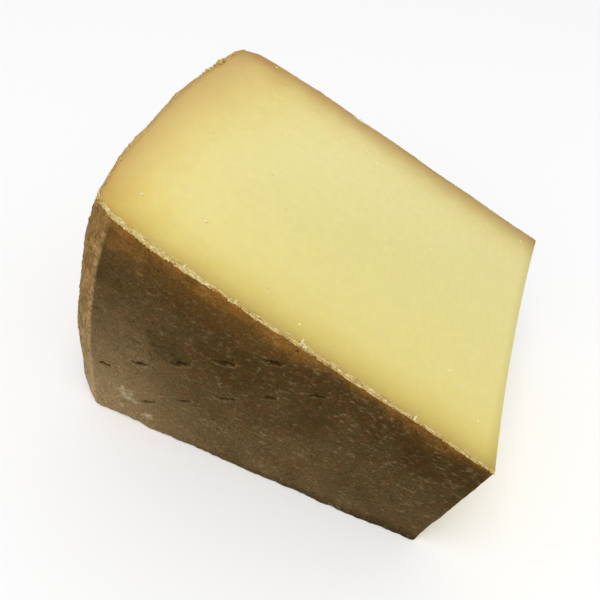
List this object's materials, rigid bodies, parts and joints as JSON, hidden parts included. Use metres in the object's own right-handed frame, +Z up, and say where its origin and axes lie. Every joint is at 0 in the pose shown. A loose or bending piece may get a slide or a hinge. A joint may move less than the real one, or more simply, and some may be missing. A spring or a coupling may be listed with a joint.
{
  "type": "cheese wedge",
  "caption": "Wedge of brown-rinded mountain cheese lying on a cut face, with rind on three sides, a smooth pale yellow upper cut and a blunt nose where the tip is cut off.",
  "frame": {"origin": "on the resting plane, under the middle of the wedge's box", "axes": "+X along the lower cut from the heel rind towards the cut nose, +Y across the wheel's thickness from the front flat rind to the back one, +Z up, out of the lower cut face"},
  "size_m": [0.1584, 0.104, 0.1105],
  "materials": {
    "cheese": "smooth, faintly translucent pale yellow cut paste with a satin sheen; dry, matt brown rind on the two flat sides and the heel"
  },
  "bodies": {
    "root": {"cheese_wedge": "cheese"}
  },
  "joints": []
}
